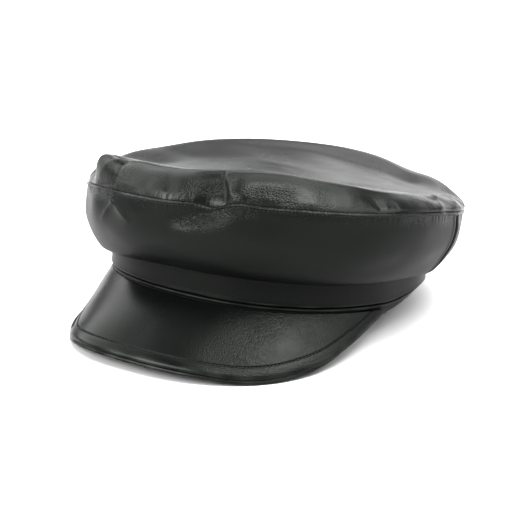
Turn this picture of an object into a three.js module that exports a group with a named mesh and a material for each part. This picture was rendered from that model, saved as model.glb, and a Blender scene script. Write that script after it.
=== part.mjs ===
// A black leather fisherman's cap: a soft puffed crown, a strap round its headband and a short curved peak.
// Millimetres, +Z up, the peak towards -Y. The cap lies on a flat surface as it would by itself, on the back
// of its headband and on the low edge of its peak, so its own axis leans back by TILT.
import * as THREE from "three";

// Driving sizes of the cap, before it is laid down
const HEAD_REACH = 92.1; // half width of the headband behind the strap
const HEAD_HEIGHT = 22.2;
const HEAD_WALL = 2.2;
const STRAP_LOW = 8.6; // the strap's lower edge, above the headband's
const STRAP_HEIGHT = 16;
const STRAP_WALL = 2.1;
const STRAP_EDGE = 0.6; // how far its folded edges are rounded
const LEATHER = 1.6; // the crown's wall
const SEAM_REACH = 115; // half width at the crown's seam
const CENTRE_HEIGHT = 76; // the middle of the dished top
const LONGER = 5; // front to back, each half is longer than the half width by this
const BAND_SQUARENESS = 2.3; // 2 is an ellipse, more is squarer
const CROWN_SQUARENESS = 2.15;
const GAP = 0.3; // between neighbouring pieces
const SIDE_SEAM_ANGLE = 107; // where the front and back side panels meet, from the front

// The peak
const PEAK_ANGLE = 84.5; // the peak ends this far round from the front
const PEAK_ROOT = 4.6; // height of the line along which it leaves the headband
const PEAK_FAN = 1.07; // the leather spreads a little more than its root line turns
const PEAK_BULGE = 0.8; // how far it arches between its root and its edge
const PEAK_TOP_WALL = 1.8;
const PEAK_UNDER_WALL = 1.4;
const PEAK_END_THINNING = 0.3; // share of the thickness lost towards the ends
const SQUARE_CUT = { from: 45, to: 80 }; // slopes over which its upright cuts turn square to the leather

// How the cap lies
const TILT = THREE.MathUtils.degToRad(9.5);
const PRESS = 0.5; // how far the soft leather is flattened where it touches the surface

// Numbers of steps
const ROUND_STEPS = 72;
const SIDE_STEPS = 11;
const TOP_STEPS = 11;
const PEAK_STEPS = 36;
const PEAK_ROWS = 6;

// The headband's outer face, from its turned-in bottom edge up: height, and how far inside HEAD_REACH it is.
const HEM = [
  { height: 0, inside: 2.8 },
  { height: 0.5, inside: 1.7 },
  { height: 1.8, inside: 0.8 },
  { height: PEAK_ROOT, inside: GAP },
  { height: STRAP_LOW, inside: 0 },
  { height: HEAD_HEIGHT, inside: 0 },
];

// Between the peak's ends and the back, the low edges of the headband and the strap arch up off the surface.
// rise is the headband's own lift between full and easing, in degrees from the front. It fades with height.
const ARCH = { rise: 8, from: 84, full: 114, easing: 140, to: 166 };

// The soft crown, one row for each section round the cap, every 30 degrees from the front towards +X. seam
// and crest are heights, inset is how far the crest lies inside the seam, hang is the lowest point of the
// side's overhanging roll, dish is the height half way in, and taper is how far the side draws in below its
// middle.
const SECTIONS = [
  { angle: 0, seam: 64.8, crest: 82, inset: 19, hang: 22, dish: 79, taper: 1 },
  { angle: 30, seam: 68.8, crest: 86, inset: 19, hang: 22.5, dish: 80, taper: 2 },
  { angle: 60, seam: 68, crest: 81.5, inset: 20, hang: 22.8, dish: 78, taper: 2 },
  { angle: 90, seam: 66, crest: 75.5, inset: 22, hang: 23.2, dish: 74, taper: 1.5 },
  { angle: 120, seam: 60.5, crest: 70, inset: 24, hang: 22, dish: 72, taper: 2 },
  { angle: 150, seam: 59, crest: 75, inset: 22, hang: 19, dish: 73, taper: 2 },
  { angle: 180, seam: 60, crest: 79, inset: 22, hang: 17.5, dish: 75, taper: 2 },
  { angle: 210, seam: 60, crest: 79.8, inset: 22, hang: 16.5, dish: 76.5, taper: 2 },
  { angle: 240, seam: 57.5, crest: 78.8, inset: 22, hang: 16, dish: 76.5, taper: 1.5 },
  { angle: 270, seam: 55, crest: 72.8, inset: 23, hang: 15.5, dish: 74, taper: 1 },
  { angle: 300, seam: 54, crest: 71.5, inset: 23, hang: 15.5, dish: 74, taper: 1 },
  { angle: 330, seam: 60.5, crest: 80, inset: 20, hang: 19, dish: 77, taper: 0.5 },
];

// The side panel's outer face, from the seam down to its roll. out is how far it stands out beyond the
// seam, less drawn times the section's taper, and down is the share of the way from the seam to the hang.
const SIDE_SHAPE = [
  { out: 0, drawn: 0, down: 0 },
  { out: 0.4, drawn: 0.45, down: 0.27 },
  { out: -0.9, drawn: 1, down: 0.57 },
  { out: -7.5, drawn: 1.1, down: 0.86 },
];
const HANG = { out: 5.5, drawn: 0.35 }; // where it hangs lowest, beyond the strap's outside

// Behind the roll it climbs the strap, and its edge tucks in between the strap and the headband's top.
// out is beyond the strap's outside, and up is above the strap's top.
const TUCK = [
  { out: 2.2, up: 1 },
  { out: 0, up: 1.4 },
  { out: 0.1 - GAP - STRAP_WALL, up: 0.5 },
  { out: -0.1 - GAP - STRAP_WALL, up: HEAD_HEIGHT + GAP - STRAP_LOW - STRAP_HEIGHT },
];

// The top panel's upper face, from the seam to the crest, as shares of the crest's inset and of its rise.
const TOP_SHAPE = [
  { inset: 0, rise: 0 },
  { inset: 0, rise: 0.34 },
  { inset: 0.4, rise: 0.84 },
  { inset: 1, rise: 1 },
];

// From there to the middle, as a share of the seam's reach. dished is 1 at the dish's height and 0 at the
// centre's.
const DISH_SHAPE = [
  { reach: 0.62, dished: 1 },
  { reach: 0.3, dished: 0.5 },
  { reach: 0, dished: 0 },
];

// The peak, one row for each section in equal steps of angle from its left end to its right end: how far
// the leather reaches from root to edge, how many degrees below level it slopes, and how many degrees it is
// turned further round, since its left corner splays out.
const PEAK_SECTIONS = [
  { reach: 2, slope: 90, splay: 0 },
  { reach: 16.6, slope: 78, splay: -1.2 },
  { reach: 33.4, slope: 64, splay: -3.1 },
  { reach: 45.8, slope: 49.6, splay: -4.8 },
  { reach: 50.9, slope: 39.2, splay: -4.8 },
  { reach: 49.7, slope: 40.1, splay: -3.3 },
  { reach: 48.2, slope: 41.7, splay: -1.3 },
  { reach: 43.7, slope: 47.8, splay: 0.2 },
  { reach: 31.7, slope: 51.3, splay: 0.6 },
  { reach: 14.8, slope: 59, splay: 0.8 },
  { reach: 2, slope: 75, splay: 0 },
];

// Dents and folds, one row each: centre angle and half width in degrees, distance along the leather above
// the seam (or below, if negative) and half length in mm, and how far the leather is lifted or, if negative,
// sunk.
const FOLDS = [
  { name: "left fold valley", angle: -36, width: 8, along: 14, length: 16, lift: -4.5 },
  { name: "left fold ridge", angle: -23, width: 6, along: 20, length: 14, lift: 3 },
  { name: "front dimple", angle: 17, width: 5, along: 9, length: 8, lift: -3 },
  { name: "dimple's ridge", angle: 24, width: 4, along: 8, length: 8, lift: 1.4 },
  { name: "right front dent", angle: 67, width: 6, along: 9, length: 8, lift: -2 },
  { name: "right fold", angle: 100, width: 5, along: 12, length: 12, lift: -2.4 },
  { name: "left pucker", angle: -30, width: 5, along: -9, length: 9, lift: 1.5 },
  { name: "front side dent", angle: 11, width: 5, along: -8.5, length: 5.5, lift: -2.4 },
  { name: "back left sag", angle: -120, width: 14, along: 16, length: 20, lift: -2.5 },
  { name: "back right sag", angle: 160, width: 12, along: 18, length: 18, lift: -2 },
];

// Above the seam the folds turn, over this stretch of leather, from moving outwards to moving upwards.
const FOLD_TURN = { from: 2, to: 26 };

const STRAP_REACH = HEAD_REACH + GAP + STRAP_WALL; // the strap's outside
const STRAP_TOP = STRAP_LOW + STRAP_HEIGHT;
const PEAK_WALLS = PEAK_TOP_WALL + GAP + PEAK_UNDER_WALL;

const radians = THREE.MathUtils.degToRad;

// A value between four neighbouring rows, by a cubic that runs through the middle two.
function between(a, b, c, d, t) {
  const bend = 2 * a - 5 * b + 4 * c - d;
  const twist = 3 * b - a - 3 * c + d;
  return 0.5 * (2 * b + (c - a) * t + bend * t ** 2 + twist * t ** 3);
}

// A column of SECTIONS at any angle. The rows close on themselves.
function section(column, angle) {
  const count = SECTIONS.length;
  const place = THREE.MathUtils.euclideanModulo(angle, 360) / (360 / count);
  const row = Math.floor(place);
  const value = (k) => SECTIONS[(row + k + count) % count][column];
  return between(value(-1), value(0), value(1), value(2), place - row);
}

// A column of PEAK_SECTIONS at any angle within the peak.
function peakSection(column, angle) {
  const last = PEAK_SECTIONS.length - 1;
  const place = THREE.MathUtils.clamp((angle / PEAK_ANGLE + 1) / 2, 0, 1) * last;
  const row = Math.min(Math.floor(place), last - 1);
  const value = (k) => PEAK_SECTIONS[THREE.MathUtils.clamp(row + k, 0, last)][column];
  return between(value(-1), value(0), value(1), value(2), place - row);
}

// A point on a rounded, slightly squared ring: reach is its half width, and LONGER adds to the half length.
function ringPoint(angle, reach, height, squareness, longer = LONGER) {
  const s = Math.sin(radians(angle));
  const c = Math.cos(radians(angle));
  const size = (Math.abs(s) ** squareness + Math.abs(c) ** squareness) ** (-1 / squareness);
  return new THREE.Vector3(reach * s * size, -(reach + longer) * c * size, height);
}

// What the folds add at a place on the crown: along is the distance above the seam, negative below it.
function foldLift(angle, along) {
  return FOLDS.reduce((sum, fold) => {
    const turn = THREE.MathUtils.euclideanModulo(angle - fold.angle + 180, 360) - 180;
    const across = turn / fold.width;
    const down = (along - fold.along) / fold.length;
    return sum + fold.lift * Math.exp(-across * across - down * down);
  }, 0);
}

// A crown point with its folds: the leather moves outwards at the seam and upwards on top. Where the crown
// tucks in behind the strap it takes the headband's squarer shape.
function crownPoint(angle, reach, height, along, longer = LONGER) {
  const lift = foldLift(angle, along);
  const turn = (Math.PI / 2) * THREE.MathUtils.smoothstep(along, FOLD_TURN.from, FOLD_TURN.to);
  const free = along > 0 ? 1 : THREE.MathUtils.smoothstep(reach, STRAP_REACH, SEAM_REACH);
  const squareness = THREE.MathUtils.lerp(BAND_SQUARENESS, CROWN_SQUARENESS, free);
  const moved = { reach: reach + lift * Math.cos(turn), height: height + lift * Math.sin(turn) };
  return ringPoint(angle, moved.reach, moved.height, squareness, longer);
}

// The side panel's outer face at one angle, from the seam down, over the roll and in to the headband's top.
function sideProfile(angle) {
  const seam = section("seam", angle) - GAP / 2;
  const hang = section("hang", angle);
  const taper = section("taper", angle);
  const fall = seam - hang;
  const side = SIDE_SHAPE.map((row) => [SEAM_REACH + row.out - row.drawn * taper, seam - row.down * fall]);
  const roll = [STRAP_REACH + HANG.out - HANG.drawn * taper, hang];
  const tuck = TUCK.map((row) => [STRAP_REACH + row.out, STRAP_TOP + row.up]);
  return profile([...side, roll, ...tuck]);
}

// The top panel's upper face at one angle, from the seam up over the crest and in to the middle.
function topProfile(angle) {
  const seam = section("seam", angle) + GAP / 2;
  const rise = section("crest", angle) - seam;
  const inset = section("inset", angle);
  const dish = section("dish", angle) - CENTRE_HEIGHT;
  const puff = TOP_SHAPE.map((row) => [SEAM_REACH - row.inset * inset, seam + row.rise * rise]);
  const middle = DISH_SHAPE.map((row) => [SEAM_REACH * row.reach, CENTRE_HEIGHT + row.dished * dish]);
  return profile([...puff, ...middle]);
}

// A smooth curve through pairs of reach and height.
function profile(pairs) {
  return new THREE.SplineCurve(pairs.map(([reach, height]) => new THREE.Vector2(reach, height)));
}

// One column of crown points down a profile. direction is 1 above the seam and -1 below it.
function crownColumn(curve, angle, steps, direction) {
  const points = curve.getPoints(steps);
  let along = 0;
  return points.map((point, k) => {
    if (k > 0) along += point.distanceTo(points[k - 1]);
    const reach = Math.max(point.x, 0);
    const longer = direction > 0 ? (LONGER * reach) / SEAM_REACH : LONGER;
    return crownPoint(angle, reach, point.y, direction * along, longer);
  });
}

// One column of the peak, from its root on the headband to its edge. depth is how far below the upper face
// it lies. At the front its root and its edge are cut upright, and towards the steep ends they are cut square.
function peakColumn(angle, depth) {
  const share = Math.min(Math.abs(angle) / PEAK_ANGLE, 1);
  const slope = radians(peakSection("slope", angle));
  const thin = 1 - PEAK_END_THINNING * share ** 3;
  const square = THREE.MathUtils.smoothstep(slope, radians(SQUARE_CUT.from), radians(SQUARE_CUT.to));
  const turn = radians(angle * PEAK_FAN + peakSection("splay", angle));
  const out = new THREE.Vector3(Math.sin(turn), -Math.cos(turn), 0);
  const up = new THREE.Vector3(0, 0, 1);
  const down = out.clone().multiplyScalar(Math.cos(slope)).addScaledVector(up, -Math.sin(slope));
  const normal = out.clone().multiplyScalar(Math.sin(slope)).addScaledVector(up, Math.cos(slope));
  const root = (below) => {
    const height = PEAK_ROOT - (below * thin * (1 - square * Math.sin(slope) ** 2)) / Math.cos(slope);
    const stacked = (PEAK_WALLS - below) * thin * Math.sin(slope) * square;
    return ringPoint(angle, HEAD_REACH + stacked, height, BAND_SQUARENESS);
  };
  const upright = Math.tan(slope) * (1 - square);
  const edge = root(0)
    .addScaledVector(down, peakSection("reach", angle) + depth * thin * upright)
    .addScaledVector(normal, -depth * thin);
  const bulge = PEAK_BULGE * Math.cos((Math.PI / 2) * share);
  return Array.from({ length: PEAK_ROWS + 1 }, (_, k) =>
    root(depth)
      .lerp(edge, k / PEAK_ROWS)
      .addScaledVector(normal, bulge * Math.sin((Math.PI * k) / PEAK_ROWS)),
  );
}

// Leather pressed against the surface moves up to it. floorHeight is that surface's height under the cap's
// own origin, along floorNormal.
const floorNormal = new THREE.Vector3(0, -Math.sin(TILT), Math.cos(TILT));
const backEdge = ringPoint(180, HEAD_REACH - HEM[0].inside, 0, BAND_SQUARENESS);
const floorHeight = backEdge.dot(floorNormal) + PRESS;
const belowFloor = (point) => Math.max(0, floorHeight - point.dot(floorNormal));
const settle = (point) => point.clone().addScaledVector(floorNormal, belowFloor(point));

// A closed wall from a grid of points on its outer face. grid[i][j] goes round with i and down with j.
// closed joins the last column to the first, and pole means that each column ends in one common point.
function wall(grid, thickness, { closed = false, pole = false } = {}) {
  const columns = grid.length;
  const rows = grid[0].length;
  const at = (i, j) => {
    const column = closed ? (i + columns) % columns : THREE.MathUtils.clamp(i, 0, columns - 1);
    return grid[column][THREE.MathUtils.clamp(j, 0, rows - 1)];
  };
  const inner = grid.map((column, i) =>
    column.map((point, j) => {
      const round = at(i + 1, j).clone().sub(at(i - 1, j));
      const down = at(i, j + 1).clone().sub(at(i, j - 1));
      const normal = pole && j === rows - 1 ? new THREE.Vector3(0, 0, 1) : down.cross(round).normalize();
      return point.clone().addScaledVector(normal, -thickness);
    }),
  );
  return skin(grid, inner, closed, pole);
}

// The closed mesh between an outer and an inner grid.
function skin(outer, inner, closed, pole) {
  const columns = outer.length;
  const rows = outer[0].length;
  const positions = [];
  const index = [];
  const layers = [outer, inner];
  layers.flat(2).forEach((point) => positions.push(...point.toArray()));
  const id = (layer, i, j) => {
    const column = pole && j === rows - 1 ? 0 : (i + columns) % columns;
    return layer * columns * rows + column * rows + j;
  };
  const triangle = (a, b, c) => {
    if (a !== b && b !== c && c !== a) index.push(a, b, c);
  };
  const quad = (a, b, c, d) => {
    triangle(a, b, c);
    triangle(a, c, d);
  };
  const spans = closed ? columns : columns - 1;
  for (let i = 0; i < spans; i++) {
    for (let j = 0; j < rows - 1; j++) {
      quad(id(0, i, j), id(0, i, j + 1), id(0, i + 1, j + 1), id(0, i + 1, j));
      quad(id(1, i, j), id(1, i + 1, j), id(1, i + 1, j + 1), id(1, i, j + 1));
    }
    quad(id(0, i, 0), id(0, i + 1, 0), id(1, i + 1, 0), id(1, i, 0));
    if (!pole) {
      const last = rows - 1;
      quad(id(0, i, last), id(1, i, last), id(1, i + 1, last), id(0, i + 1, last));
    }
  }
  if (!closed) {
    const end = columns - 1;
    for (let j = 0; j < rows - 1; j++) {
      quad(id(0, 0, j), id(1, 0, j), id(1, 0, j + 1), id(0, 0, j + 1));
      quad(id(0, end, j), id(0, end, j + 1), id(1, end, j + 1), id(1, end, j));
    }
  }
  return new THREE.BufferGeometry()
    .setAttribute("position", new THREE.Float32BufferAttribute(positions, 3))
    .setIndex(index);
}

const anglesRound = Array.from({ length: ROUND_STEPS }, (_, i) => (360 * i) / ROUND_STEPS);

// A height on the headband or the strap with what the arch adds to it.
function arched(angle, height) {
  const fromFront = Math.abs(THREE.MathUtils.euclideanModulo(angle + 180, 360) - 180);
  const climb = THREE.MathUtils.smoothstep(fromFront, ARCH.from, ARCH.full);
  const fall = THREE.MathUtils.smoothstep(fromFront, ARCH.easing, ARCH.to);
  return height + ARCH.rise * climb * (1 - fall) * Math.max(0, 1 - height / HEAD_HEIGHT);
}

// A band of the same section all round, from pairs of reach and height on its outer and inner faces.
function band(outerPairs, innerPairs, shape = (point) => point) {
  const face = (pairs) =>
    anglesRound.map((angle) =>
      pairs.map(([reach, height]) => shape(ringPoint(angle, reach, arched(angle, height), BAND_SQUARENESS))),
    );
  return skin(face(outerPairs), face(innerPairs), true, false);
}

const black = { color: 0x1b1c1b, metalness: 0 };
const softLeather = new THREE.MeshStandardMaterial({ ...black, roughness: 0.42 });
const smoothLeather = new THREE.MeshStandardMaterial({ ...black, roughness: 0.5 });

function named(name, geometry, material) {
  const mesh = new THREE.Mesh(geometry, material);
  mesh.name = name;
  return mesh;
}

// Its columns run inwards, not down, so they are taken the other way round to make the outer face look up.
function crownTop() {
  const grid = anglesRound.map((angle) => crownColumn(topProfile(angle), angle, TOP_STEPS, 1)).reverse();
  return named("crown_top", wall(grid, LEATHER, { closed: true, pole: true }), softLeather);
}

// A side panel between two angles, stopping short of them by half of GAP.
function crownSide(name, from, to) {
  const short = THREE.MathUtils.radToDeg(GAP / 2 / SEAM_REACH);
  const steps = Math.round((to - from) / (360 / ROUND_STEPS));
  const grid = Array.from({ length: steps + 1 }, (_, i) => {
    const angle = from + short + ((to - from - 2 * short) * i) / steps;
    return crownColumn(sideProfile(angle), angle, SIDE_STEPS, -1);
  });
  return named(name, wall(grid, LEATHER), softLeather);
}

function headband() {
  const outer = HEM.map((row) => [HEAD_REACH - row.inside, row.height]).reverse();
  const inner = outer.map(([reach, height]) => [reach - HEAD_WALL, height]);
  return named("headband", band(outer, inner, settle), smoothLeather);
}

function strap() {
  const outer = [
    [STRAP_REACH - STRAP_EDGE, STRAP_TOP],
    [STRAP_REACH, STRAP_TOP - STRAP_EDGE],
    [STRAP_REACH, STRAP_LOW + STRAP_EDGE],
    [STRAP_REACH - STRAP_EDGE, STRAP_LOW],
  ];
  const inner = outer.map(([, height]) => [HEAD_REACH + GAP, height]);
  return named("hat_band", band(outer, inner), smoothLeather);
}

// A layer of the peak from depth to depth plus thickness. Where the peak dips below the floor it bends up.
function peakLayer(name, depth, thickness) {
  const angles = Array.from({ length: PEAK_STEPS + 1 }, (_, i) => PEAK_ANGLE * ((2 * i) / PEAK_STEPS - 1));
  const lifts = angles.map((angle) => peakColumn(angle, PEAK_WALLS).map(belowFloor));
  const face = (below) =>
    angles.map((angle, i) =>
      peakColumn(angle, below).map((point, k) => point.addScaledVector(floorNormal, lifts[i][k])),
    );
  return named(name, skin(face(depth), face(depth + thickness), false, false), smoothLeather);
}

const cap = new THREE.Group();
cap.add(
  crownTop(),
  crownSide("crown_side_front", -SIDE_SEAM_ANGLE, SIDE_SEAM_ANGLE),
  crownSide("crown_side_back", SIDE_SEAM_ANGLE, 360 - SIDE_SEAM_ANGLE),
  headband(),
  strap(),
  peakLayer("peak_top", 0, PEAK_TOP_WALL),
  peakLayer("peak_under", PEAK_TOP_WALL + GAP, PEAK_UNDER_WALL),
);
cap.rotation.x = -TILT;

// The part's origin is the middle of its bottom, on the surface.
const root = new THREE.Group();
root.add(cap);
const box = new THREE.Box3().setFromObject(root, true);
const middle = box.getCenter(new THREE.Vector3());
cap.position.set(-middle.x, -middle.y, -box.min.z);

export default root;
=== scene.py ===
# %% [markdown]
# # A black leather fisherman's cap, step by step
#
# The CAD model already holds the cap's size and its plain walls. This file makes every piece again in fine
# leather: the puffed crown with its folds, the welted seam, the strap, the beaded hem and the stitched
# peak. All of it is worked out from a few sizes, so a value can be changed and the file run again.

import math

import bmesh
import bpy
import numpy as np
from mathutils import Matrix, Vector


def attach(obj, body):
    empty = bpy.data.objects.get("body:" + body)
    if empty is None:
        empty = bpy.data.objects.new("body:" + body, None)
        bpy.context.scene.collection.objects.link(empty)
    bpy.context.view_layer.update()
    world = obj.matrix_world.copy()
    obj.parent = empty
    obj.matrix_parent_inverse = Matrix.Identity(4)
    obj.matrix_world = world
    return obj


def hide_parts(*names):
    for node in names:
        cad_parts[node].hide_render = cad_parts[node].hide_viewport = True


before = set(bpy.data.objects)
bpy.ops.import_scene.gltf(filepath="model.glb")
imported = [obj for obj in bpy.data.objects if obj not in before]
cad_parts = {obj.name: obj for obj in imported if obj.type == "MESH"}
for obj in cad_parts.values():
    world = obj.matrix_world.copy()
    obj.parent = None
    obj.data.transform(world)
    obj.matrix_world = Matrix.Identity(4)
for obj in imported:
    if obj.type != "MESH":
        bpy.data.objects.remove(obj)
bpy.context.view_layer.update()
print("CAD nodes:", ", ".join(sorted(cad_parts)))

# %% [markdown]
# ## Camera
#
# The photograph was taken from 36 degrees round to one side and 19 degrees up, through a long lens, which
# keeps the crown's ring from looking stretched. The camera could be aimed by eye, but its direction, focal
# length and shift were worked out from points on the seam and the strap. Depth of field stays off, because
# the whole cap is sharp.

# %% Put the camera at the photograph's angle
LOOK_AT = Vector((0, 0, 0.05))
camera_distance = 1.2
turn = math.radians(35.568)
height = math.radians(18.533)
back = Vector((math.sin(turn) * math.cos(height), -math.cos(turn) * math.cos(height), math.sin(height)))


def add_object(name, data):
    """A new object in the scene that shows its data."""
    made = bpy.data.objects.new(name, data)
    bpy.context.collection.objects.link(made)
    return made


camera = add_object("camera", bpy.data.cameras.new("camera"))
camera.location = LOOK_AT + camera_distance * back
camera.rotation_euler = (-back).to_track_quat("-Z", "Y").to_euler()
IMAGE_SIZE = 512
focal_length_px = 1894.76
picture_centre = (263.75, 233.62)
lens = camera.data
lens.sensor_width = 36
lens.lens = focal_length_px / IMAGE_SIZE * lens.sensor_width
lens.shift_x = -(picture_centre[0] / IMAGE_SIZE - 0.5)
lens.shift_y = picture_centre[1] / IMAGE_SIZE - 0.5
lens.clip_start = 0.05
lens.clip_end = 20
bpy.context.scene.camera = camera
print(f"lens {lens.lens:.1f} mm, shift {lens.shift_x:.4f}, {lens.shift_y:.4f}")

# %% [markdown]
# ## The cap's own measurements
#
# A cap maker works from a few sizes and a row of templates. These are the CAD source's own, in millimetres,
# so the fine pieces land on the plain ones. Only the lean, by which the top panel's edge slopes in, and the
# cut at the peak's left end are new. The cap is made upright, with the peak towards minus Y, and laid down
# afterwards. Angles go round it from the middle of the front towards plus X.

# %% Sizes in millimetres
head_reach, head_height, head_wall = 92.1, 22.2, 2.2
strap_low, strap_height, strap_wall = 8.6, 16, 2.1
seam_reach, centre_height, leather = 115, 76, 1.6
longer = 5  # front to back, each half of the cap is longer than its half width by this
band_squareness, crown_squareness = 2.3, 2.15
gap, seam_gap = 0.3, 0.12
side_seam_angle = 107
arch_rise, arch_from, arch_full, arch_easing, arch_to = 8, 84, 114, 140, 166
strap_reach = head_reach + gap + strap_wall
strap_top = strap_low + strap_height
peak_angle, peak_root, peak_fan, peak_bulge = 84.5, 4.6, 1.07, 0.8
peak_top_wall, peak_under_wall = 1.8, 1.4
peak_walls = peak_top_wall + gap + peak_under_wall

# %% Templates of the crown, one value every 30 degrees from the front
crown = {
    "seam": [65.5, 70.3, 70.1, 67.7, 61.3, 59, 60, 60, 57.5, 55.3, 55.5, 62.3],
    "crest": [82, 86, 81.5, 75.5, 70, 75, 79, 79.8, 78.8, 72.8, 71.5, 80],
    "inset": [19, 19, 20, 22, 24, 22, 22, 22, 22, 23, 23, 20],
    "hang": [23.4, 24, 23.4, 23.2, 22, 19, 17.5, 16.5, 16, 15.5, 15.5, 20],
    "dish": [79, 79.5, 76.5, 71.5, 69.8, 72, 75, 76.5, 76.5, 74, 74, 77],
    "taper": [1, 2, 2, 1.5, 2, 2, 2, 2, 1.5, 1, 1, 0.5],
    "lean": [0.11, 0.12, 0.11, 0.05, 0.01, 0, 0, 0, 0, 0.01, 0.02, 0.06],
}
print("the crown's seam stands", min(crown["seam"]), "to", max(crown["seam"]), "mm high")

# %% Templates of the peak, in equal steps from its left end to its right end
peak_reach = [2, 16.6, 33.4, 45.8, 50.9, 49.7, 48.2, 43.7, 31.7, 14.8, 2]
peak_slope = [90, 78, 64, 49.6, 39.2, 40.1, 41.7, 47.8, 51.3, 59, 75]
peak_splay = [0, -1.2, -3.1, -4.8, -4.8, -3.3, -1.3, 0.2, 0.6, 0.8, 0]
cut_middle, cut_width, cut_depth = -42, 13, 3.2  # the left end's cut: degrees, degrees, mm
print("the peak reaches", max(peak_reach), "mm out from the headband")

# %% [markdown]
# ## Reading the templates
#
# Between two template values the leather runs on smoothly, so a straight join would leave a visible corner.
# A cubic through four neighbouring values bends as a thin strip of card would. The cap's ring is a little
# squarer than an ellipse, which one exponent describes.

# %% Smooth values between template rows
def cubic(a, b, c, d, t):
    """From b to c as t goes from 0 to 1. The slope at each is half the step between its neighbours."""
    bend = 2 * a - 5 * b + 4 * c - d
    twist = 3 * b - a - 3 * c + d
    return 0.5 * (2 * b + (c - a) * t + bend * t**2 + twist * t**3)


def crown_value(column, angle):
    """A template value of the crown at any angle in degrees."""
    values = np.array(crown[column], float)
    place = np.mod(angle, 360) / 30
    row = np.floor(place).astype(int)
    a, b, c, d = (values[(row + k) % len(values)] for k in (-1, 0, 1, 2))
    return cubic(a, b, c, d, place - row)


def peak_value(values, angle):
    """A template value of the peak at any angle within it."""
    values = np.array(values, float)
    last = len(values) - 1
    place = np.clip((angle / peak_angle + 1) / 2, 0, 1) * last
    row = np.minimum(np.floor(place).astype(int), last - 1)
    a, b, c, d = (values[np.clip(row + k, 0, last)] for k in (-1, 0, 1, 2))
    return cubic(a, b, c, d, place - row)


def smoothstep(x, low, high):
    """A smooth step from 0 at low to 1 at high."""
    t = np.clip((x - low) / (high - low), 0, 1)
    return t * t * (3 - 2 * t)


def hill(x, middle, width):
    """A smooth hill: 1 at its middle, about a third one width away, and soon nothing."""
    return np.exp(-(((x - middle) / width) ** 2))


def from_front(angle):
    """The same angle between -180 and 180 degrees."""
    return np.mod(angle + 180, 360) - 180


def peak_length(angle):
    """The peak's reach, shorter at the left end, where the plain peak is pressed flat on the table."""
    return peak_value(peak_reach, angle) - cut_depth * hill(angle, cut_middle, cut_width)


def ring(angle, reach, height, squareness, extra=longer):
    """Points on a rounded, slightly squared ring."""
    angle, reach, height = np.broadcast_arrays(np.radians(angle), reach, height)
    s, c = np.sin(angle), np.cos(angle)
    size = (np.abs(s) ** squareness + np.abs(c) ** squareness) ** (-1 / squareness)
    return np.stack([reach * s * size, -(reach + extra) * c * size, height], axis=-1)


print("half width of the strap at the side:", ring(90, strap_reach, 0, band_squareness)[0].round(1))

# %% [markdown]
# ## Laying the cap on the table
#
# The cap rests on the back of its headband and on the peak's edge, so it leans back by 9.5 degrees. Leather
# that would go through the table is pressed flat against it. The finished objects could be rotated, but
# laying the points keeps every object at the origin, just as the CAD pieces are.

# %% Tilt, place and flatten
tilt = math.radians(9.5)
moved = np.array([0.0156, 4.6822, 15.0640])  # where the middle of the headband's lower edge ends up
floor_up = np.array([0, -math.sin(tilt), math.cos(tilt)])
floor_height = -moved[2]


def lay(points):
    """Cap points in millimetres, as points on the table in metres."""
    x, y, z = np.moveaxis(points, -1, 0)
    s, c = math.sin(tilt), math.cos(tilt)
    return (np.stack([x, y * c + z * s, z * c - y * s], -1) + moved) / 1000


def below_floor(points):
    """How far points would lie under the table, in mm."""
    return np.maximum(0, floor_height - points @ floor_up)


def settle(points):
    """Points with those under the table lifted onto it."""
    return points + below_floor(points)[..., None] * floor_up

# %% [markdown]
# ## From rows of points to leather
#
# Every piece is a wall of leather: an outer face, an inner face, and the cut edges between them. A Solidify
# modifier could thicken a sheet, but where the leather puckers its inner face would fold through itself. So
# the inner face is set off from the smooth shape, and only the outer face gets the fine detail.

# %% Normals
def size_of(vectors):
    """The lengths of vectors."""
    return np.linalg.norm(vectors, axis=-1, keepdims=True)


def unit(vectors):
    """Vectors brought to a length of 1."""
    return vectors / np.maximum(size_of(vectors), 1e-9)


def normals(grid, closed, flip=1):
    """Unit normals of a grid of points that runs round with its first index and down with its second."""
    if closed:
        across = np.roll(grid, -1, 0) - np.roll(grid, 1, 0)
    else:
        across = np.gradient(grid, axis=0)
    return unit(np.cross(np.gradient(grid, axis=1), across) * flip)


# %% Walls and meshes
weld_distance = 1e-6  # metres
sharp_from = math.radians(55)


def wall_quads(columns, rows, closed):
    """The faces of a closed wall whose outer points come first and whose inner points follow."""
    spans, downs = np.arange(columns if closed else columns - 1), np.arange(rows - 1)
    i, j = np.meshgrid(spans, downs, indexing="ij")
    layer, column, row = np.eye(3, dtype=int)
    # where each group of faces starts, and the two steps to the corners beside a face's first one
    groups = [(0, i, j, row, column), (1, i, j, column, row)]
    groups += [(0, spans, 0, column, layer), (0, spans, rows - 1, layer, column)]
    if not closed:
        groups += [(0, 0, downs, layer, row), (0, columns - 1, downs, row, layer)]
    quads = []
    for *start, a, b in groups:
        corners = [[place + by for place, by in zip(start, step)] for step in (0 * a, a, a + b, b)]
        quads.append(np.stack([((n * columns + i % columns) * rows + j).ravel() for n, i, j in corners], 1))
    return np.concatenate(quads)


def loop_quads(columns, around):
    """The faces of a tube: rings of points, each ring closed."""
    i, j = np.meshgrid(np.arange(columns - 1), np.arange(around), indexing="ij")
    at = lambda i, j: i * around + j % around
    return np.stack([k.ravel() for k in (at(i, j), at(i, j + 1), at(i + 1, j + 1), at(i + 1, j))], 1)


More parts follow.
